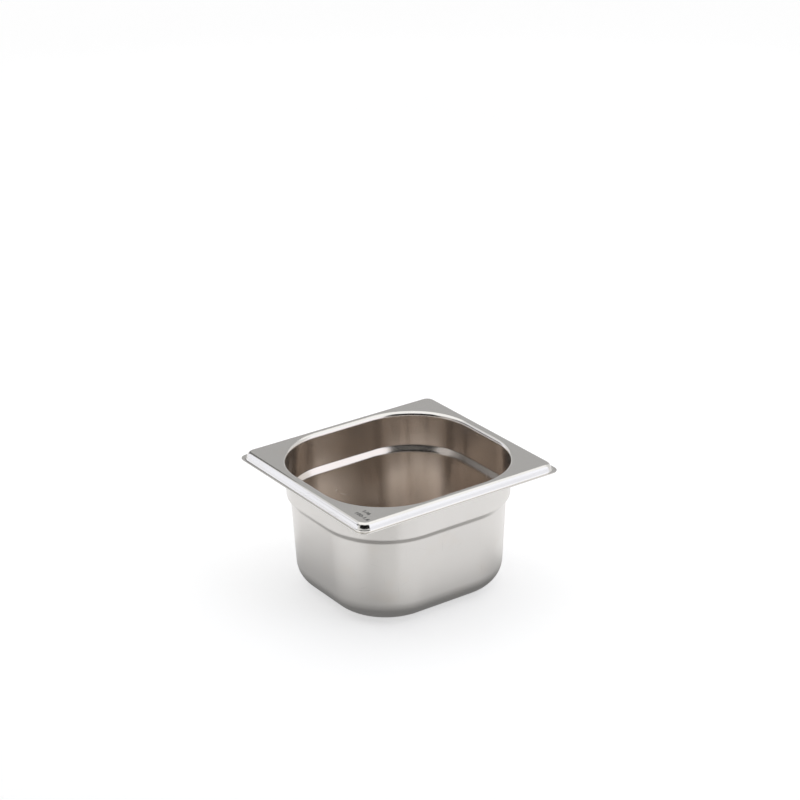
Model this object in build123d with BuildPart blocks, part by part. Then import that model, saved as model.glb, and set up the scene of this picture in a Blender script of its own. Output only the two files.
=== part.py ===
from build123d import *
from math import radians, tan
import os

# A kitchen food pan of the one-sixth size, pressed from a single sheet of stainless steel.
# Nothing is welded, riveted or folded on: the base, the bowl, the stacking shoulder, the flat
# flange and the stepped rim are all drawn out of the same sheet, so the pan is one piece.
#
# Millimetres, Z up. The origin is the middle of the base, on the surface the pan stands on.
# X runs along the long side of the rim and Y along the short side.

# ---- the kitchen module ------------------------------------------------------------------
pan_length = 176.0      # over the lip, along X
pan_width = 162.0       # over the lip, along Y
pan_height = 100.0      # from the base to the top of the flange
sheet = 0.7             # thickness of the steel

# ---- rim: a bend down from the flange, a short skirt and a lip turned out at its foot ------
lip_corner = 6.8        # radius of the lip's corners at the cut edge, seen from above
skirt_corner = 8.4      # radius of the skirt's corners at its foot
rim_height = 6.0        # top of the flange to the underside of the lip
lip_width = 2.0         # foot of the skirt to the lip's cut edge
skirt_lean = 20.0       # degrees by which the skirt leans outwards
rim_bend = 3.4          # bend from the flange to the skirt, on its outer face
lip_bend = 1.2          # bend from the skirt to the lip, on its upper face

# ---- bowl --------------------------------------------------------------------------------
end_border = 11.9       # lip edge to the bowl's wall, at the two ends
side_border = 10.9      # lip edge to the bowl's wall, at the two long sides
bowl_corner = 51.5      # radius of the bowl's corners at the opening
upper_draft = 0.5       # degrees by which the wall above the shoulder leans in
lower_draft = 3.0       # degrees by which the wall below the shoulder leans in
opening_bend = 3.4      # bend from the flange into the bowl, on its upper face
shoulder_depth = 27.2   # top of the flange to the start of the stacking shoulder
shoulder_height = 4.3   # height of the sloping shoulder
shoulder_step = 3.1     # how far the shoulder steps the wall in
shoulder_top_bend = 2.4     # its upper bend, on the inside of the bowl
shoulder_foot_bend = 4.0    # its lower bend, on the inside of the bowl
base_bend = 19.0        # bend from the wall to the base, on its outer face

flat_edge = 0.2         # flat sheet beyond a section's last bend, where the flange or base joins


def bend_run(radius, turn):
    """How far a bend of this radius reaches from its corner when it turns by these degrees."""
    return radius * tan(radians(turn / 2))


def lean(depth, degrees):
    """How far a wall that leans by these degrees goes sideways over this depth."""
    return depth * tan(radians(degrees))


def oblong(length, width, corner):
    """A closed path: a rectangle of straight runs and round corners, centred on the origin."""
    x, y = length / 2, width / 2
    return FilletPolyline((-x, -y), (x, -y), (x, y), (-x, y), radius=corner, close=True)


def section_plane(path):
    """The plane across the start of a path, which is on its +Y side: local X points out of
    the pan and local Y points up."""
    return Plane(path @ 0, x_dir=(0, 1, 0), z_dir=(1, 0, 0))


# ---- sections of the sheet: X is outwards from the path, Y is up from the flange's top -----
# Both are drawn along the show face, and the sheet's thickness lies behind it.
base_depth = pan_height - sheet
below_shoulder = shoulder_depth + shoulder_height

opening_run = bend_run(opening_bend, 90 - upper_draft) + flat_edge
shoulder_top_x = -lean(shoulder_depth, upper_draft)
shoulder_foot_x = shoulder_top_x - shoulder_step
wall_foot_x = shoulder_foot_x - lean(base_depth - below_shoulder, lower_draft)
base_run = bend_run(base_bend - sheet, 90 - lower_draft) + flat_edge
bowl_inset = base_run - wall_foot_x

lip_depth = rim_height - sheet
skirt_top_x = -lip_width - lean(lip_depth, skirt_lean)
rim_inset = bend_run(rim_bend, 90 - skirt_lean) + flat_edge - skirt_top_x
lip_inset = lip_width - bend_run(lip_bend, 90 - skirt_lean) - flat_edge
rim_corner = skirt_corner + lip_width       # what the skirt's corners grow to at the lip's edge

opening_length = pan_length - 2 * end_border
opening_width = pan_width - 2 * side_border

# ---- pan ---------------------------------------------------------------------------------
with BuildPart() as pan:
    # The bowl's wall: one section, from the flange over the shoulder to the base, carried
    # round the opening. It keeps its distance from the path, so the corners tighten downwards.
    with BuildLine(Plane.XY.offset(pan_height)) as opening_path:
        oblong(opening_length, opening_width, bowl_corner)
    with BuildSketch(section_plane(opening_path.line)) as wall_section:
        with BuildLine():
            FilletPolyline(
                (opening_run, 0),
                (0, 0),
                (shoulder_top_x, -shoulder_depth),
                (shoulder_foot_x, -below_shoulder),
                (wall_foot_x, -base_depth),
                (wall_foot_x - base_run, -base_depth),
                radius=(
                    opening_bend, shoulder_top_bend, shoulder_foot_bend, base_bend - sheet
                ),
            )
            offset(amount=sheet, side=Side.LEFT)
        make_face()
    sweep(path=opening_path.line)

    # The rim's section, from the flange's edge down the skirt to the start of the lip.
    with BuildLine(Plane.XY.offset(pan_height)) as rim_path:
        oblong(pan_length, pan_width, rim_corner)
    with BuildSketch(section_plane(rim_path.line)) as rim_section:
        with BuildLine():
            FilletPolyline(
                (-rim_inset, 0),
                (skirt_top_x, 0),
                (-lip_width, -lip_depth),
                (-lip_inset, -lip_depth),
                radius=(rim_bend, lip_bend),
            )
            offset(amount=sheet, side=Side.RIGHT)
        make_face()
    sweep(path=rim_path.line)

    # The flat lip. It is cut with tighter corners than the skirt has, so it is wider there.
    with BuildSketch(Plane.XY.offset(pan_height - lip_depth)) as lip:
        RectangleRounded(pan_length, pan_width, lip_corner)
        RectangleRounded(
            pan_length - 2 * lip_inset,
            pan_width - 2 * lip_inset,
            rim_corner - lip_inset,
            mode=Mode.SUBTRACT,
        )
    extrude(amount=-sheet)

    # The flat flange between the rim and the bowl.
    with BuildSketch(Plane.XY.offset(pan_height)) as flange:
        RectangleRounded(
            pan_length - 2 * rim_inset, pan_width - 2 * rim_inset, rim_corner - rim_inset
        )
        RectangleRounded(
            opening_length + 2 * opening_run,
            opening_width + 2 * opening_run,
            bowl_corner + opening_run,
            mode=Mode.SUBTRACT,
        )
    extrude(amount=-sheet)

    # The flat base inside the bend.
    with BuildSketch() as base:
        RectangleRounded(
            opening_length - 2 * bowl_inset,
            opening_width - 2 * bowl_inset,
            bowl_corner - bowl_inset,
        )
    extrude(amount=sheet)

pan.part.label = "pan"

os.makedirs("parts", exist_ok=True)
export_step(pan.part, "parts/pan.step")
print("solids", len(pan.solids()), "volume", round(pan.part.volume, 1), "mm3")
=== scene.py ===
# %% [markdown]
# # A one-sixth food pan, pressed from one steel sheet
# A deli counter is filled with pans like this one. A press draws a flat blank of stainless
# steel down into a bowl, then turns its edge over into a stepped rim, so the real pan has no
# joint anywhere. The lesson rebuilds that single sheet as one fine mesh with two faces and a
# cut edge, gives it the finishes that the press and the polishing leave, prints its size
# marks, and lights it as steel has to be lit: by what stands around it.
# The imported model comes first, because it fixes where every point of the pan lies.

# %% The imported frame
import math

import bpy
import numpy as np
from mathutils import Matrix, Vector, noise


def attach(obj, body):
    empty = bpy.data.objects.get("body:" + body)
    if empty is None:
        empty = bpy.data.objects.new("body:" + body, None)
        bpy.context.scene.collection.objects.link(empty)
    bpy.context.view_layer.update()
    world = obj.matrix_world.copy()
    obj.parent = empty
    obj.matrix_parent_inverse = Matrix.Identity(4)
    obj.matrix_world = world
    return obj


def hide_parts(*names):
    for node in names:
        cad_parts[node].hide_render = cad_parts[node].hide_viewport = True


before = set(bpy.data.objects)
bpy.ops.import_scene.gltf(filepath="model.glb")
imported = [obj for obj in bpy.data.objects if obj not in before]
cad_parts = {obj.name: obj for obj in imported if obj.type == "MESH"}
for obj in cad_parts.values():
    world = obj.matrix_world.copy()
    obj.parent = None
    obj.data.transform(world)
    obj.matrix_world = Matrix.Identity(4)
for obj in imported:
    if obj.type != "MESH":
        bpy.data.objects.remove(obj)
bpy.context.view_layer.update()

MM = 0.001

# %% [markdown]
# ## Writing shader formulas
# A finish is easiest to read as a formula: roughness = 0.3 + 0.1 * smudges. Blender's nodes
# can say the same, but a chain of Math nodes added one by one hides the thought. So one small
# class holds a socket and lets Python's own operators add the Math nodes, and one method adds
# every other node: its settings are set first, then the values or links of its sockets.


# %% A socket that takes part in formulas
class Wire:
    """A node's output. Arithmetic on it adds Math nodes to its tree."""

    def __init__(self, tree, socket=None):
        self.tree, self.socket = tree, socket

    def node(self, kind, settings=(), inputs=(), output=0):
        made = self.tree.nodes.new(kind)
        for name, value in dict(settings).items():
            setattr(made, name, value)
        for name, value in dict(inputs).items():
            if isinstance(value, Wire):
                self.tree.links.new(value.socket, made.inputs[name])
            else:
                made.inputs[name].default_value = value
        return Wire(self.tree, made.outputs[output] if len(made.outputs) else None)

    def math(self, operation, *values):
        return self.node("ShaderNodeMath", {"operation": operation}, dict(enumerate(values)))

    def __add__(self, other):
        return self.math("ADD", self, other)

    def __sub__(self, other):
        return self.math("SUBTRACT", self, other)

    def __rsub__(self, other):
        return self.math("SUBTRACT", other, self)

    def __mul__(self, other):
        return self.math("MULTIPLY", self, other)

    __radd__, __rmul__ = __add__, __mul__

    def or_more(self, other):
        """The larger of the two."""
        return self.math("MAXIMUM", self, other)

    def between(self, low, high):
        """0 below low, 1 above high, and a soft step from one to the other."""
        return self.node("ShaderNodeMapRange", {"interpolation_type": "SMOOTHSTEP"},
                         {"Value": self, "From Min": low, "From Max": high})


print("a wire knows + - * and their reflected forms")


# %% Colours, vectors and new trees
def blended(share, first, second):
    """A colour that goes from first to second as share goes from 0 to 1."""
    return share.node("ShaderNodeMix", {"data_type": "RGBA"},
                      {"Factor": share, 6: first, 7: second}, output=2)


def stretched(vector, factors):
    return vector.node("ShaderNodeVectorMath", {"operation": "MULTIPLY"}, {0: vector, 1: factors})


def turned(vector, angles):
    return vector.node("ShaderNodeVectorRotate", {"rotation_type": "EULER_XYZ"},
                       {"Vector": vector, "Rotation": angles})


def new_tree(owner):
    owner.use_nodes = True
    owner.node_tree.nodes.clear()
    return Wire(owner.node_tree)


trial = bpy.data.materials.new("trial")
formula = 1 - 2 * new_tree(trial).node("ShaderNodeValue")
print("1 - 2 * mask adds", sum(node.type == "MATH" for node in formula.tree.nodes), "Math nodes")
bpy.data.materials.remove(trial)

# %% [markdown]
# ## The section of the bowl
# Cut the pan across a wall and one bent line shows: base, bend, wall, sloping shoulder, wall,
# bend, flange. The shoulder is a ledge that stops a nested pan from jamming. A bevel modifier
# could round the corners of a coarse box, but its radii then depend on the box. It is surer
# to write the line down as the press tool has it, corner by corner with the radius of each
# bend, and to sample the arcs here.

# %% The driving sizes, in millimetres and degrees
LENGTH, WIDTH, HEIGHT, SHEET = 176.0, 162.0, 100.0, 0.7
END_BORDER, SIDE_BORDER, BOWL_CORNER = 11.9, 10.9, 51.5
OPENING = (LENGTH / 2 - END_BORDER, WIDTH / 2 - SIDE_BORDER, BOWL_CORNER)   # half sizes and radius
SHOULDER_TOP, SHOULDER_FOOT, SHOULDER_STEP = 27.2, 31.5, 3.1
UPPER_DRAFT, LOWER_DRAFT = 0.5, 3.0
OPENING_BEND, SHOULDER_BENDS, BASE_BEND = 3.4, (2.4, 4.0), 18.3     # radii of the show face
FLAT_EDGE = 0.2             # a short straight left beyond the first and the last bend


def lean(depth, degrees):
    """How far a line that leans by some degrees moves aside over a depth."""
    return depth * math.tan(math.radians(degrees))


def bend_run(radius, turn):
    """How much of each straight line a bend of some degrees uses up."""
    return radius * math.tan(math.radians(turn / 2))


print("the bowl opens", round(2 * OPENING[0], 1), "by", round(2 * OPENING[1], 1), "mm")

# %% Sampling one bend
def arc(start, way_in, turn, radius, pieces):
    """The inner points of a bend and their normals, left of the way, from where it starts."""
    left = np.array((-way_in[1], way_in[0]))
    side = math.copysign(1, turn)
    centre = start + left * side * radius
    points = []
    for angle in np.linspace(0, turn, pieces + 1)[1:-1]:
        normal = np.array((left[0] * math.cos(angle) - left[1] * math.sin(angle),
                           left[0] * math.sin(angle) + left[1] * math.cos(angle)))
        points.append((centre - normal * side * radius, normal))
    return points


quarter = arc(np.zeros(2), np.array((1.0, 0.0)), math.pi / 2, 1.0, 4)
print("a quarter turn in 4 pieces adds", len(quarter), "points between its ends")

# %% Sampling the whole line
EDGE_RUN, EDGE_SHARE = 0.35, 0.12       # a short first face keeps a bend's shading off the straight


def straight(start, end, pieces):
    way = (end - start) / np.linalg.norm(end - start)
    shares = np.linspace(0, 1, pieces + 1)
    if pieces > 2:
        edge = min(EDGE_SHARE, EDGE_RUN / np.linalg.norm(end - start))
        shares = np.concatenate(((0,), np.linspace(edge, 1 - edge, pieces - 1), (1,)))
    return [(start + (end - start) * share, np.array((-way[1], way[0]))) for share in shares]


def bent_line(corners, bends, runs):
    """Points and normals along a line whose inner corners are arcs.

    bends is (radius, pieces) for each inner corner, and runs is the pieces of each straight."""
    corners = [np.array(corner, float) for corner in corners]
    ways = [(b - a) / np.linalg.norm(b - a) for a, b in zip(corners, corners[1:])]
    line, start = [], corners[0]
    for i, (radius, pieces) in enumerate(bends):
        way_in, way_out = ways[i], ways[i + 1]
        turn = math.atan2(way_in[0] * way_out[1] - way_in[1] * way_out[0], way_in @ way_out)
        run = radius * math.tan(abs(turn) / 2)
        end = corners[i + 1] - way_in * run
        line += straight(start, end, runs[i]) + arc(end, way_in, turn, radius, pieces)
        start = corners[i + 1] + way_out * run
    line += straight(start, corners[-1], runs[-1])
    return np.array([point for point, normal in line]), np.array([normal for point, normal in line])


print("a straight in 3 pieces has", len(straight(np.zeros(2), np.ones(2), 3)), "points")

# %% The bowl's line, from the base to the flange
# x is measured outwards from the opening's edge and z upwards from the flange.
shoulder_x = -lean(SHOULDER_TOP, UPPER_DRAFT)
foot_x = shoulder_x - SHOULDER_STEP - lean(HEIGHT - SHEET - SHOULDER_FOOT, LOWER_DRAFT)
base_edge = foot_x - bend_run(BASE_BEND, 90 - LOWER_DRAFT) - FLAT_EDGE
bowl_edge = bend_run(OPENING_BEND, 90 - UPPER_DRAFT) + FLAT_EDGE
bowl_line = bent_line(
    [(base_edge, SHEET - HEIGHT), (foot_x, SHEET - HEIGHT), (shoulder_x - SHOULDER_STEP, -SHOULDER_FOOT),
     (shoulder_x, -SHOULDER_TOP), (0, 0), (bowl_edge, 0)],
    [(BASE_BEND, 26), (SHOULDER_BENDS[1], 8), (SHOULDER_BENDS[0], 8), (OPENING_BEND, 16)],
    [1, 16, 3, 9, 1])
print("the bowl's section has", len(bowl_line[0]), "points")

# %% [markdown]
# ## The section of the rim
# The flange's outer edge is turned down into a short leaning skirt and out again into a
# narrow lip. That step makes thin sheet stiff, and it lets pans hang side by side in a
# counter. It is the same kind of line as the bowl's, with one addition: a skirt that comes
# off a press is never quite straight, and bellies by a few hundredths of a millimetre. Too
# little to measure by eye, it still fans out what the skirt mirrors, so it is built in.

# %% The rim's line, from the flange to the lip
LIP_CORNER, LIP_WIDTH, RIM_HEIGHT = 6.8, 2.0, 6.0
SKIRT_LEAN, SKIRT_CORNER, SKIRT_BELLY = 20, 8.4, 0.045
RIM_BEND, LIP_BEND = 3.4, 1.2
skirt_x = -LIP_WIDTH - lean(RIM_HEIGHT - SHEET, SKIRT_LEAN)
rim_edge = skirt_x - bend_run(RIM_BEND, 90 - SKIRT_LEAN) - FLAT_EDGE
lip_start = -LIP_WIDTH + bend_run(LIP_BEND, 90 - SKIRT_LEAN) + FLAT_EDGE
rim_line = bent_line(
    [(rim_edge, 0), (skirt_x, 0), (-LIP_WIDTH, SHEET - RIM_HEIGHT), (lip_start, SHEET - RIM_HEIGHT)],
    [(RIM_BEND, 12), (LIP_BEND, 9)], [1, 8, 1])
print("the skirt's top stands", round(-skirt_x, 2), "mm inside the lip's cut edge")

# %% The skirt's belly
SAME_WAY = 1 - 1e-9         # two directions this alike are the same but for rounding
skirt_way = np.array((math.cos(math.radians(SKIRT_LEAN)), math.sin(math.radians(SKIRT_LEAN))))
on_skirt = np.flatnonzero(rim_line[1] @ skirt_way > SAME_WAY)
down_skirt = np.linalg.norm(rim_line[0][on_skirt] - rim_line[0][on_skirt[0]], axis=1)
share = down_skirt / down_skirt[-1]
rim_line[0][on_skirt] += skirt_way * (4 * SKIRT_BELLY * share * (1 - share))[:, None]
print("the rim's section has", len(rim_line[0]), "points, and its skirt is",
      round(float(down_skirt[-1]), 2), "mm between its bends")

# %% [markdown]
# ## From the section to a sheet
# Each point of the section goes once round the pan as a ring of points. The bowl's rings are
# rounded rectangles with wide corners, the rim's have tight ones, and both keep the same
# count of points: the middle third of each wide corner faces the whole of the tight corner.
# The flange between them is flat, so its faces may slant without a trace in the polish.

# %% The corners of a ring
CORNERS = [(1, 1), (-1, 1), (-1, -1), (1, -1)]
CORNER_PIECES, SIDE_PIECES = 72, 16
AROUND = 4 * (CORNER_PIECES + SIDE_PIECES)
FIRST_ANGLE = dict(zip(CORNERS, (0, 90, 180, 270)))
print(AROUND, "points go round each ring")


def ways(corner, pieces):
    """Directions over the quarter turn of one corner, anticlockwise, as seen from above."""
    angles = np.radians(FIRST_ANGLE[corner] + 90 * np.linspace(0, 1, pieces + 1))
    return np.stack((np.cos(angles), np.sin(angles)), 1)


def closed(parts):
    """Joins the corners with straight runs into one ring."""
    ring = []
    share = np.linspace(0, 1, SIDE_PIECES + 1)[1:-1, None]
    for part, following in zip(parts, parts[1:] + parts[:1]):
        ring += [part, part[-1] * (1 - share) + following[0] * share]
    return np.concatenate(ring)


# %% Rings round the bowl and round the rim
def bowl_ring(grow):
    """The opening's outline, grown outwards by some millimetres."""
    half_x, half_y, radius = OPENING
    return closed([np.array(corner) * (half_x - radius, half_y - radius)
                   + (radius + grow) * ways(corner, CORNER_PIECES) for corner in CORNERS])


def rim_ring(grow, radius):
    """The pan's outline, grown outwards, with corners of that radius."""
    half = np.array((LENGTH, WIDTH)) / 2 + grow
    third = CORNER_PIECES // 3
    share = np.linspace(0, 1, third + 1)[:, None]
    parts = []
    for corner in CORNERS:
        tight = np.array(corner) * (half - radius) + radius * ways(corner, third)
        wide = np.array(corner) * (np.array(OPENING[:2]) - OPENING[2])
        first, last = [np.where(np.abs(way) > 0.5, way * half, wide)
                       for way in ways(corner, CORNER_PIECES)[[0, -1]]]
        parts.append(np.concatenate(((first * (1 - share) + tight[0] * share)[:-1], tight,
                                     (tight[-1] * (1 - share) + last * share)[1:])))
    return closed(parts)


def skirt_ring(grow):
    return rim_ring(grow, SKIRT_CORNER + LIP_WIDTH + grow)


def lip_ring(inset):
    return rim_ring(-inset, LIP_CORNER - inset)


for name, ring in (("opening", bowl_ring(0)), ("lip", lip_ring(0))):
    print("the ring at the", name, "spans", np.ptp(ring, 0).round(1), "mm")

# %% [markdown]
# ## The sheet isn't perfect
# Drawn sheet springs back a little, and the polishing wheel takes some off: the long walls
# belly by some hundredths of a millimetre. In satin steel that is enough to bend the
# reflected tones, and a mathematically flat wall looks like plastic beside it. The wander is
# smooth noise over the wall. It fades out at the shoulder, the bends and the rim, which the
# press holds true, and it moves both faces together, so the sheet keeps its thickness.

# %% How far the wall wanders
WANDER, PATCH, PATCH_DEPTH = 0.07, 60, 90       # how far, and how long and deep a patch of it is
PATCH_START = 7                                 # which stretch of the noise is taken
UPPER_WALL, LOWER_WALL = (4, 24), (35, 88)      # the depths between which each wall is free
UPPER_FADE, LOWER_FADE = 5, 10                  # over how much depth the wander comes and goes
UPPER_SHARE = 0.5                               # the upper wall is short, and so it is stiffer


def freedom(depth):
    """1 in the middle of the lower wall, less on the upper one, and 0 where a wall is held."""
    upper, lower = [min(depth - top, foot - depth) for top, foot in (UPPER_WALL, LOWER_WALL)]
    return max(UPPER_SHARE * np.clip(upper / UPPER_FADE, 0, 1), np.clip(lower / LOWER_FADE, 0, 1))


def wander(ring, depth):
    """Millimetres outwards at each point of a wall's ring, at a depth below the flange."""
    held = freedom(depth) * WANDER
    start = depth / PATCH_DEPTH + PATCH_START
    return np.array([held * noise.noise(Vector((x / PATCH, y / PATCH, start))) if held else 0
                     for x, y in ring])[:, None]


furthest = max(abs(wander(bowl_ring(0), depth)).max() for depth in range(*LOWER_WALL, 5))
print("the lower wall wanders by up to", round(float(furthest), 3), "mm")


# %% [markdown]
# ## Two faces and a cut edge
# The show face and the hidden face follow the same section, a sheet's thickness apart, and
# they meet round the lip, where shears cut the blank and tumbling took the burr off. A
# Solidify modifier could give the thickness, but it offsets along averaged normals and
# rounds nothing, so each ring of the hidden face is worked out from the section's normal.


# %% The rings of one face
EDGE_ROUND, EDGE_FLAT = 0.12, 0.25      # the cut edge's rounding, and the flat lip kept beside it
THIRDS = (0.33, 0.67)                   # where the rings between two bends lie


def at_height(ring, z):
    return np.column_stack((ring, np.full(AROUND, z)))


def face_rings(depth_in_sheet):
    """Rings from the base's edge out to the lip, some way into the sheet from its show face."""
    outward = bowl_ring(1.0) - bowl_ring(0.0)       # one millimetre outwards at each point
    bowl = [at_height(bowl_ring(x - depth_in_sheet * nx) + outward * wander(bowl_ring(x), -z),
                      HEIGHT + z - depth_in_sheet * nz) for (x, z), (nx, nz) in zip(*bowl_line)]
    rim = [at_height(skirt_ring(x - depth_in_sheet * nx), HEIGHT + z - depth_in_sheet * nz)
           for (x, z), (nx, nz) in zip(*rim_line)]
    flange = [bowl[-1] * (1 - share) + rim[0] * share for share in THIRDS]
    lip_end = at_height(lip_ring(EDGE_ROUND + EDGE_FLAT), rim[-1][0, 2])
    lip = [rim[-1] * (1 - share) + lip_end * share for share in (*THIRDS, 1)]
    return bowl + flange + rim + lip


print("each face has", len(face_rings(0)), "rings")

# %% The rounded edge between them
lip_foot = HEIGHT - RIM_HEIGHT
upper_round, lower_round = lip_foot + SHEET - EDGE_ROUND, lip_foot + EDGE_ROUND
edge = [at_height(lip_ring(EDGE_ROUND * (1 - math.cos(angle))), height + EDGE_ROUND * math.sin(angle))
        for height, angles in ((upper_round, (90, 60, 30, 0)), (lower_round, (0, -30, -60, -90)))
        for angle in np.radians(angles)]
rings = face_rings(0) + edge + face_rings(SHEET)[::-1]
print(len(rings), "rings make the two faces and the edge between them")

# %% [markdown]
# ## Sewing the rings and closing the base
# Neighbouring rings are joined by a band of four-sided faces. Where the base turns flat the
# bands go on inwards as ever smaller rings, with half as many points each time they have
# shrunk by half, so the faces stay square and even all the way in. A fan of long slivers
# would catch the light. The plate is dished upwards by a fraction of a millimetre, as makers
# do to keep a pan from rocking on its middle.

# %% Adding a ring and sewing a band
points, faces, finishes = [], [], []


def add_ring(ring):
    """Adds a ring's points and returns their numbers."""
    points.extend((ring * MM).tolist())
    return list(range(len(points) - len(ring), len(points)))


def sew(outer, inner, finish, upwards=True):
    """A band of faces between two rings, the inner with as many points or with half."""
    for a in range(len(inner)):
        b = (a + 1) % len(inner)
        if len(outer) == len(inner):
            band = [[outer[a], outer[b], inner[b], inner[a]]]
        else:
            near, middle, far = outer[2 * a], outer[2 * a + 1], outer[(2 * a + 2) % len(outer)]
            band = [[near, middle, inner[a]], [middle, inner[b], inner[a]], [middle, far, inner[b]]]
        faces.extend(face if upwards else face[::-1] for face in band)
        finishes.extend([finish] * len(band))


print("a band between two whole rings has", AROUND, "faces")

# %% The two faces
INSIDE, RIM, OUTSIDE = 0, 1, 2
POLISH_REACH = 12           # how many rings of the bowl's line have the rim's finish
polished_from = len(bowl_line[0]) - POLISH_REACH
polished_to = len(rings) - 1 - polished_from
numbers = [add_ring(ring) for ring in rings]
for k, (inner, outer) in enumerate(zip(numbers, numbers[1:])):
    sew(outer, inner, INSIDE if k < polished_from else RIM if k < polished_to else OUTSIDE)
print(len(faces), "faces are sewn, and", finishes.count(RIM), "of them have the rim's finish")

# %% The plate of the base
CROWN, HALVINGS, STEPS = 0.25, 4, 6


def close_base(outer, outline, z, finish, upwards):
    for stage in range(HALVINGS):
        for step in range(1, STEPS + 1):
            if step == STEPS:
                outline = outline[::2]
            scale = (1 - 0.5 * step / STEPS) / 2 ** stage
            lift = CROWN * (1 - scale ** 2) ** 2
            inner = add_ring(np.column_stack((outline * scale, np.full(len(outline), z + lift))))
            sew(outer, inner, finish, upwards)
            outer = inner
    middle = add_ring(np.array([[0, 0, z + CROWN]]))
    for a, b in zip(outer, outer[1:] + outer[:1]):
        faces.append([a, b, middle[0]] if upwards else [middle[0], b, a])
        finishes.append(finish)


close_base(numbers[0], rings[0][:, :2], SHEET, INSIDE, True)
close_base(numbers[-1], rings[-1][:, :2], 0.0, OUTSIDE, False)
print("with the base closed there are", len(faces), "faces")

# %% The finished sheet
mesh = bpy.data.meshes.new("pan_sheet")
mesh.from_pydata(points, [], faces)
mesh.polygons.foreach_set("use_smooth", np.ones(len(mesh.polygons), bool))
mesh.polygons.foreach_set("material_index", np.array(finishes, np.int32))
mesh.update()
pan = bpy.data.objects.new("pan_sheet", mesh)
bpy.context.scene.collection.objects.link(pan)
print("the sheet has", len(mesh.polygons), "faces")

# %% [markdown]
# ## Satin steel
# The wheel that polishes a pan leaves lines far too fine to see one by one. Together they
# spread a highlight more one way than the other, which the shader's anisotropy does, and a
# bump of hair-thin lines round the pan breaks it up close to. Handling adds the rest: clouds
# of slightly duller metal, faint warm smudges and a few straight hairlines. An image could
# hold all this, but noise in the pan's own space needs no unwrapping and never repeats.

# %% Hairline scratches
HAIRLINE = (2600.0, 70.0, 70.0)         # thin one way and long the other two, per metre
HAIRLINE_TURNS = ((0.4, 1.1, 0.3), (1.9, 0.2, 2.2), (2.7, 2.4, 1.0))
HAIRLINE_PEAK = (0.78, 0.84)            # how high the noise has to rise to leave a scratch


def hairlines(place):
    """1 on a scratch: the peaks of three noises drawn out thin, each in its own direction."""
    found = 0.0
    for angles in HAIRLINE_TURNS:
        streaks = place.node("ShaderNodeTexNoise", {}, {
            "Vector": stretched(turned(place, angles), HAIRLINE), "Scale": 1.0, "Detail": 0.0})
        found = streaks.between(*HAIRLINE_PEAK).or_more(found)
    return found


print(len(HAIRLINE_TURNS), "noises, each changing every", round(1000 / HAIRLINE[0], 1), "mm across a line")

# %% One recipe for all three finishes
CLOUD_SCALE, SMUDGE_SCALE = 26.0, 60.0
CLOUDS = (0.3, 0.7)                                     # the noise from the clearest to the dullest
SMUDGES, SMUDGED_CLOUDS = (0.52, 0.78), (0.42, 0.66)    # smudges lie where both noises are high
SCRATCHED_CLOUDS = (0.46, 0.60)
GROOVES, GROOVE_DEPTH = (90.0, 90.0, 5200.0), 0.02 * MM     # polishing lines, level round the pan
BRUSH_TURN = 0.25                                       # the highlight spreads across the lines
WARM, DULL, SCRATCHED = (0.985, 0.955, 0.92), 0.97, 0.6     # how each changes the steel's colour
CLOUD_TINT, SCRATCH_TINT = 0.5, 0.35                        # how much of that change shows
CLOUD_ROUGH, SMUDGE_ROUGH, SCRATCH_ROUGH = 0.04, 0.03, 0.04     # and how much rougher each is


def shade(colour, factors):
    return (*(np.array(colour) * factors), 1)


def steel(name, colour, roughness, spread, grain, wear):
    """Steel whose highlight spreads one way, with the strength of its grooves and of its wear."""
    material = bpy.data.materials.new(name)
    tree = new_tree(material)
    place = tree.node("ShaderNodeTexCoord", output="Object")
    clouds = tree.node("ShaderNodeTexNoise", {}, {"Vector": place, "Scale": CLOUD_SCALE, "Detail": 3.0})
    blots = tree.node("ShaderNodeTexNoise", {}, {"Vector": place, "Scale": SMUDGE_SCALE, "Detail": 1.0})
    grooves = tree.node("ShaderNodeTexNoise", {}, {
        "Vector": stretched(place, GROOVES), "Scale": 1.0, "Detail": 2.0})
    tone = clouds.between(*CLOUDS)
    smudge = blots.between(*SMUDGES) * clouds.between(*SMUDGED_CLOUDS) * wear
    scratch = hairlines(place) * clouds.between(*SCRATCHED_CLOUDS) * wear
    base = blended(tone * CLOUD_TINT, shade(colour, 1), shade(colour, DULL))
    base = blended(smudge, base, shade(colour, WARM))
    base = blended(scratch * SCRATCH_TINT, base, shade(colour, SCRATCHED))
    rough = roughness + (tone - 0.5) * CLOUD_ROUGH + smudge * SMUDGE_ROUGH + scratch * SCRATCH_ROUGH
    bump = tree.node("ShaderNodeBump", {}, {
        "Height": grooves, "Strength": grain, "Distance": GROOVE_DEPTH})
    shader = tree.node("ShaderNodeBsdfPrincipled", {}, {
        "Base Color": base, "Metallic": 1.0, "Roughness": rough, "Anisotropic": spread,
        "Anisotropic Rotation": BRUSH_TURN, "Normal": bump})
    tree.node("ShaderNodeOutputMaterial", {}, {"Surface": shader})
    return material


print("the clouds change every", round(1000 / CLOUD_SCALE), "mm, and the smudges every",
      round(1000 / SMUDGE_SCALE), "mm")
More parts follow.
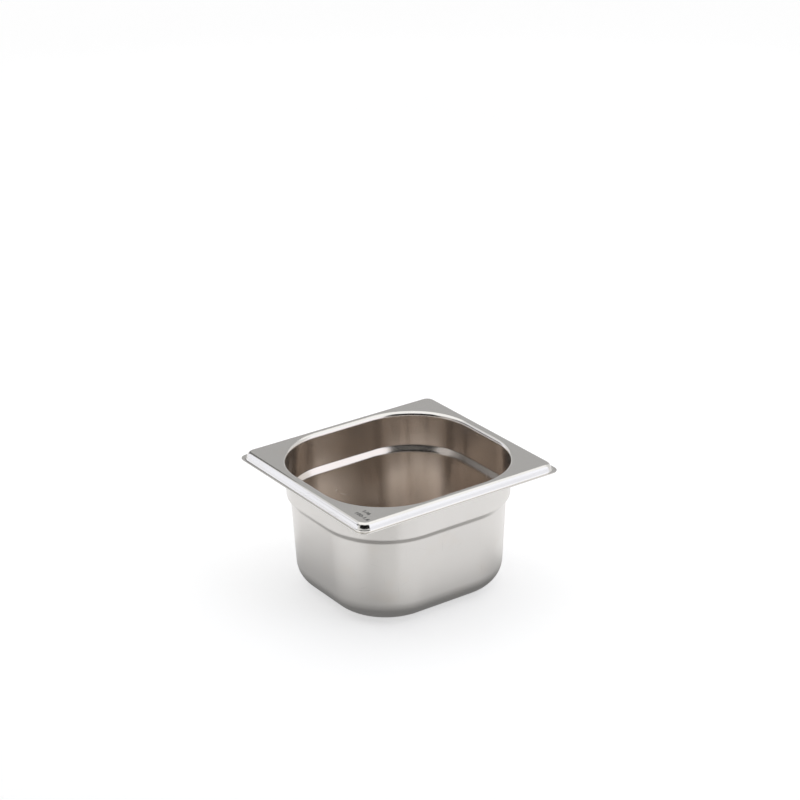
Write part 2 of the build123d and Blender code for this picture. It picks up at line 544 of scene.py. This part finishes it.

# %% [markdown]
# ## Inside, rim and outside
# One sheet, three finishes. The flange and rim were pressed between hard tools and kept
# their brightness, the outside has a soft satin, and the inside lies between the two and
# looks browner, because light meets steel two or three times before it leaves the bowl and
# each bounce takes more blue than red. The inside's colour is set browner than the outside's
# to carry that, so part of its warmth is painted light from those bounces. The colours are
# otherwise that of stainless steel, which gives back about two thirds of the light. The
# clouds and smudges keep each finish's roughness above 0.274 or below it, and only a scratch
# inside may pass it. There the renderer's denoiser changes what it goes by, and a finish
# whose clouds cross it shows their outlines as faint curly lines.

# %% The three finishes
# The inside's browner colour is painted warmth from light bouncing inside the bowl.
inner_steel = steel("satin_steel_inside", (0.685, 0.63, 0.58),
                    roughness=0.235, spread=0.35, grain=0.25, wear=0.5)
rim_steel = steel("pressed_steel", (0.655, 0.64, 0.615),
                  roughness=0.15, spread=0.2, grain=0.10, wear=0.4)
outer_steel = steel("satin_steel_outside", (0.68, 0.66, 0.635),
                    roughness=0.298, spread=0.55, grain=0.25, wear=0.5)
for finish in (inner_steel, rim_steel, outer_steel):
    mesh.materials.append(finish)
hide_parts("pan")
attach(pan, "root")
print("three finishes of the same steel:", [finish.name for finish in mesh.materials])

# %% [markdown]
# ## The size marks
# A kitchen finds the right pan by the numbers in its corner: its share of the full counter
# module, its depth in millimetres and what it holds in litres. They are etched, a dark matt
# print with no depth to speak of. A texture could carry them, but text turned into a mesh of
# a few hundredths of a millimetre keeps a clean edge at any distance.

# %% The etched print
ink = bpy.data.materials.new("etched_mark")
DARK_INK, WORN_INK = (0.05, 0.05, 0.047, 1), (0.12, 0.12, 0.115, 1)
INK_SCALE, INK_WEAR = 900.0, (0.35, 0.65)
tree = new_tree(ink)
place = tree.node("ShaderNodeTexCoord", output="Object")
patches = tree.node("ShaderNodeTexNoise", {}, {"Vector": place, "Scale": INK_SCALE, "Detail": 2.0})
shader = tree.node("ShaderNodeBsdfPrincipled", {}, {
    "Base Color": blended(patches.between(*INK_WEAR), DARK_INK, WORN_INK),
    "Metallic": 0.6, "Roughness": 0.5 + 0.1 * patches})
tree.node("ShaderNodeOutputMaterial", {}, {"Surface": shader})
print("the marks are printed in", ink.name)


# %% Numbers as a thin mesh
MARK_HEIGHT, MARK_DEPTH = 3.2, 0.03
FONT_DEPTH, FONT_WEIGHT = 0.01, 0.03    # in the font's own units, before the text is scaled


def text_mesh(name, words):
    text = bpy.data.curves.new(name, "FONT")
    text.body, text.extrude, text.offset = words, FONT_DEPTH, FONT_WEIGHT
    source = bpy.data.objects.new(name + "_text", text)
    bpy.context.scene.collection.objects.link(source)
    bpy.context.view_layer.update()
    made = bpy.data.meshes.new_from_object(source.evaluated_get(bpy.context.evaluated_depsgraph_get()))
    bpy.data.objects.remove(source)
    made.name = name
    return made


def mark(name, words, x, y, length):
    """Numbers on the flange in millimetres. They start at x, y and run to -Y, with tops to +X."""
    flat = text_mesh(name, words)
    corners = np.array([v.co for v in flat.vertices])
    low, size = corners.min(0), np.ptp(corners, 0)
    scale = np.array((length, MARK_HEIGHT, MARK_DEPTH)) * MM / size
    flat.transform(Matrix.Translation((x * MM, y * MM, HEIGHT * MM)) @ Matrix.Rotation(-math.pi / 2, 4, "Z")
                   @ Matrix.Diagonal((*scale, 1)) @ Matrix.Translation((-low[0], -low[1], 0)))
    flat.materials.clear()
    flat.materials.append(ink)
    piece = bpy.data.objects.new(name, flat)
    bpy.context.scene.collection.objects.link(piece)
    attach(piece, "root")
    print(words, "is", length, "mm long and", MARK_HEIGHT, "mm high")


mark("size_mark_share", "1/6", x=-72.0, y=-58.8, length=7.6)
mark("size_mark_depth", "100-1.6", x=-77.8, y=-57.8, length=15.4)

# %% [markdown]
# ## The studio
# Polished steel shows the room more than itself. The flat flange mirrors what stands behind
# the pan, the walls mirror the table, the shoulder mirrors the lamps above. An even sky would
# leave the pan grey and shapeless, so the studio is laid out by direction, as a product
# photographer does it: a white tent and table first, then lamps where the steel should be
# bright, and cards where it should be dark.


# %% The tent, and the rays that meet it as white
def seen(tree):
    """1 for rays from the camera, and for rays off or through something shiny."""
    outputs = tree.node("ShaderNodeLightPath").socket.node.outputs
    camera, glossy, clear = [Wire(tree.tree, outputs[name]) for name in (
        "Is Camera Ray", "Is Glossy Ray", "Is Transmission Ray")]
    return camera.or_more(glossy).or_more(clear)


world = bpy.data.worlds.new("tent")
bpy.context.scene.world = world
tree = new_tree(world)
WHITE, TENT_LIGHT = (1, 1, 1, 1), 0.75         # the light that the tent gives to what isn't shiny
tent_light = tree.node("ShaderNodeBackground", {}, {
    "Color": WHITE, "Strength": TENT_LIGHT + (1 - TENT_LIGHT) * seen(tree)})
tree.node("ShaderNodeOutputWorld", {}, {"Surface": tent_light})
print("the tent gives", TENT_LIGHT, "and looks like 1")

# %% The table
TABLE_REACH, TABLE_DROP = 6.0, 0.2 * MM
PAPER, PAPER_GLOW = (0.6, 0.6, 0.6, 1), 0.55
table_mesh = bpy.data.meshes.new("table")
table_corners = [(x * TABLE_REACH, y * TABLE_REACH, -TABLE_DROP) for x, y in CORNERS]
table_mesh.from_pydata(table_corners, [], [(0, 1, 2, 3)])
table = bpy.data.objects.new("table", table_mesh)
bpy.context.scene.collection.objects.link(table)
paper = bpy.data.materials.new("white_paper")
tree = new_tree(paper)
tree.node("ShaderNodeOutputMaterial", {}, {"Surface": tree.node("ShaderNodeBsdfPrincipled", {}, {
    "Base Color": PAPER, "Roughness": 1.0, "Specular IOR Level": 0.0,
    "Emission Color": WHITE, "Emission Strength": PAPER_GLOW * seen(tree)})})
table_mesh.materials.append(paper)
print("the table is", 2 * TABLE_REACH, "m wide and lies", TABLE_DROP / MM, "mm under the pan")

# %% [markdown]
# ## Lamps and cards by direction
# A flat mirror sends the view to one direction of the room, so for each part of the steel it
# is enough to ask which direction that is, and to hang something light or dark there. Each
# panel is a piece of a sphere round the pan, given by its middle's azimuth and elevation and
# by how many degrees it covers. The camera looks through the panels, and the steel doesn't.


# %% A glowing card
NEUTRAL, COOL = (1, 1, 1), (0.96, 0.98, 1.06)


def card(name, card_points, card_faces, brightness, colour=NEUTRAL, lights=True):
    """A card that the camera doesn't see. Without lights it shows only in the steel."""
    card_mesh = bpy.data.meshes.new(name)
    card_mesh.from_pydata(card_points, [], card_faces)
    material = bpy.data.materials.new(name)
    tree = new_tree(material)
    tree.node("ShaderNodeOutputMaterial", {}, {"Surface": tree.node(
        "ShaderNodeEmission", {}, {"Color": (*colour, 1), "Strength": brightness})})
    card_mesh.materials.append(material)
    piece = bpy.data.objects.new(name, card_mesh)
    bpy.context.scene.collection.objects.link(piece)
    piece.visible_camera = False
    piece.visible_shadow = piece.visible_diffuse = lights


def direction(azimuth, elevation):
    """The unit vector towards an azimuth from +X and an elevation, in degrees."""
    turn, rise = math.radians(azimuth), math.radians(elevation)
    return Vector((math.cos(rise) * math.cos(turn), math.cos(rise) * math.sin(turn), math.sin(rise)))


print("azimuth 90 at elevation 0 points to", [round(v, 2) for v in direction(90, 0)])

# %% Panels of the tent
ACROSS, UPRIGHT = 12, 8                 # the faces of a panel
PANEL_MIDDLE, PANEL_AWAY = Vector((0, 0, 0.06)), 1.4        # in metres


def panel(name, azimuth, elevation, wide, tall, brightness, colour=NEUTRAL, away=PANEL_AWAY):
    """A panel by its middle's azimuth and elevation and by how many degrees it covers."""
    spots = [PANEL_MIDDLE + away * direction(azimuth + wide * (t / ACROSS - 0.5),
                                             elevation + tall * (r / UPRIGHT - 0.5))
             for r in range(UPRIGHT + 1) for t in range(ACROSS + 1)]
    row = ACROSS + 1
    patches = [(r * row + t, r * row + t + 1, (r + 1) * row + t + 1, (r + 1) * row + t)
               for r in range(UPRIGHT) for t in range(ACROSS)]
    card(name, spots, patches, brightness, colour)


# name, azimuth, elevation, degrees wide, degrees tall, and brightness, where 1 is white
panel("black_card_camera", 230, 34.5, 100, 47, 0.01, away=1.3)
panel("grey_card_behind", 50, 27, 70, 40, 0.57)
panel("grey_card_left", 147, 24, 24, 26, 0.25)
panel("grey_card_far_left", 169, 34, 22, 24, 0.5)
panel("soft_lamp_right", 304, 31, 48, 36, 1.5, COOL)
panel("soft_lamp_low_right", 304, 4, 48, 17, 1.3, COOL)
panel("soft_lamp_left", 118, 13, 30, 46, 1.38, COOL)
panel("soft_lamp_low", 146, 1, 30, 20, 1.38, COOL)
panel("soft_lamp_above", 0, 90, 360, 88, 1.4)

# %% [markdown]
# ## The shade round the foot
# Close to its foot a pan shades the table, and the walls mirror that shade: they darken
# towards the base, softly, over some centimetres. The glowing table is too bright to hold
# it, so grey cards lie on it round the foot, one on another, each smaller and darker than
# the one below. They reach further on the left, whose wall stays dark for longer. Satin
# steel blurs their steps into one gradient. The camera doesn't see them, and they shade
# nothing.

# %% Cards on the table
FOOT = (70, 64)                         # half the pan's length and width at its foot
FOOT_CORNER, FOOT_CORNER_PIECES = 42, 9
FOOT_LOWEST, FOOT_LIFT = -0.17, 0.012   # the lowest card's height, and how far apart they lie
FOOT_SHADE = [  # reach beyond the wall in mm at the left, right, front and rear, and brightness
    (66, 40, 60, 50, 0.93), (65.5, 34, 46, 45, 0.85), (65, 28, 35, 40, 0.69), (38, 20, 27, 24, 0.55),
    (31, 14, 18, 12, 0.45), (13, 9, 10, 8, 0.35), (4, 3, 4, 3, 0.22)]


def foot_card(name, left, right, front, rear, height, brightness):
    low, high = (-FOOT[0] - left, -FOOT[1] - front), (FOOT[0] + right, FOOT[1] + rear)
    outline = []
    for corner in CORNERS:
        spot = np.where(np.array(corner) > 0, high, low)
        centre = spot - FOOT_CORNER * np.array(corner)
        outline += [(*((centre + FOOT_CORNER * way) * MM), height * MM)
                    for way in ways(corner, FOOT_CORNER_PIECES)]
    card(name, outline, [tuple(range(len(outline)))], brightness, lights=False)


for n, (left, right, front, rear, brightness) in enumerate(FOOT_SHADE):
    height = FOOT_LOWEST + FOOT_LIFT * n
    foot_card(f"foot_card_{n + 1}", left, right, front, rear, height, brightness)
print(len(FOOT_SHADE), "cards lie on the table, the highest at", round(height, 3), "mm")

# %% The front corner's wedge
# The front corner mirrors the table on the camera's side, and a wedge there tones it down a
# little: a sheet of painted shade that only the steel sees. Its tip is the middle of the
# bowl's corner, and it lies just under the foot's cards.
WEDGE_HEIGHT, WEDGE_REACH, WEDGE_BRIGHTNESS = -0.185, 450, 0.86
WEDGE_SWEEP = range(208, 253, 4)        # azimuths in degrees
tip = Vector((OPENING[2] - OPENING[0], OPENING[2] - OPENING[1], WEDGE_HEIGHT))
wedge = [tip] + [tip + WEDGE_REACH * direction(azimuth, 0) for azimuth in WEDGE_SWEEP]
card("corner_shade_card", [MM * spot for spot in wedge], [tuple(range(len(wedge)))], WEDGE_BRIGHTNESS,
     lights=False)
print("the wedge's outline has", len(wedge), "corners")

# %% [markdown]
# ## One small card for the shoulder
# The shoulder at the far end slopes like the near rim's skirt, so both look at almost the
# same spot of the tent, but one should be dark and the other bright. Distance tells them
# apart: a small card hung close to the pan stands in the way of the shoulder alone.

# %% Hanging it square to the shoulder's view
SHOULDER_SPOT, SHOULDER_VIEW = Vector((75, -15, 71)), (126, 24)     # where it is, and where it looks
CARD_AWAY, CARD_HALF_WIDE, CARD_HALF_TALL, CARD_BRIGHTNESS = 250, 40, 45, 0.2
towards = direction(*SHOULDER_VIEW)
sideways = towards.cross(Vector((0, 0, 1))).normalized()
upwards = sideways.cross(towards)
middle = SHOULDER_SPOT + towards * CARD_AWAY
hung = [MM * (middle + sideways * (a * CARD_HALF_WIDE) + upwards * (b * CARD_HALF_TALL))
        for a, b in ((-1, -1), (1, -1), (1, 1), (-1, 1))]
card("shoulder_card", hung, [(0, 1, 2, 3)], CARD_BRIGHTNESS, lights=False)

# %% [markdown]
# ## The camera
# A long lens from more than a metre and a half away keeps the rim's sides nearly parallel,
# as in a catalogue picture. The view is given as a photographer would say it: which way it
# looks, how steeply and with how little tilt, and how far the camera stands from the middle
# of the rim. It is raised a little, so the pan lies below the picture's middle.

# %% Setting the camera
# The view's azimuth is measured from -Y, anticlockwise as seen from above.
VIEW_AZIMUTH, VIEW_ELEVATION, TILT = (math.radians(a) for a in (-34.8933, 23.5, -0.869))
AWAY, ASIDE, RAISED = 1675.5, 1.6151, 41.8          # from the middle of the rim, in mm
LENS, SENSOR = 102.65, 36                           # focal length and sensor width, in mm
back = Vector((math.sin(VIEW_AZIMUTH) * math.cos(VIEW_ELEVATION),
               -math.cos(VIEW_AZIMUTH) * math.cos(VIEW_ELEVATION), math.sin(VIEW_ELEVATION)))
level = Vector((math.cos(VIEW_AZIMUTH), math.sin(VIEW_AZIMUTH), 0))
upright = back.cross(level)
right = level * math.cos(TILT) + upright * math.sin(TILT)
up = upright * math.cos(TILT) - level * math.sin(TILT)
camera_data = bpy.data.cameras.new("camera")
camera_data.lens, camera_data.sensor_width = LENS, SENSOR
camera = bpy.data.objects.new("camera", camera_data)
bpy.context.scene.collection.objects.link(camera)
stand = (back * AWAY + right * ASIDE + up * RAISED + Vector((0, 0, HEIGHT))) * MM
camera.matrix_world = Matrix.Translation(stand) @ Matrix((right, up, back)).transposed().to_4x4()
bpy.context.scene.camera = camera
bpy.context.scene.view_settings.view_transform = "Standard"
print("the camera stands at", [round(v, 3) for v in stand], "m")
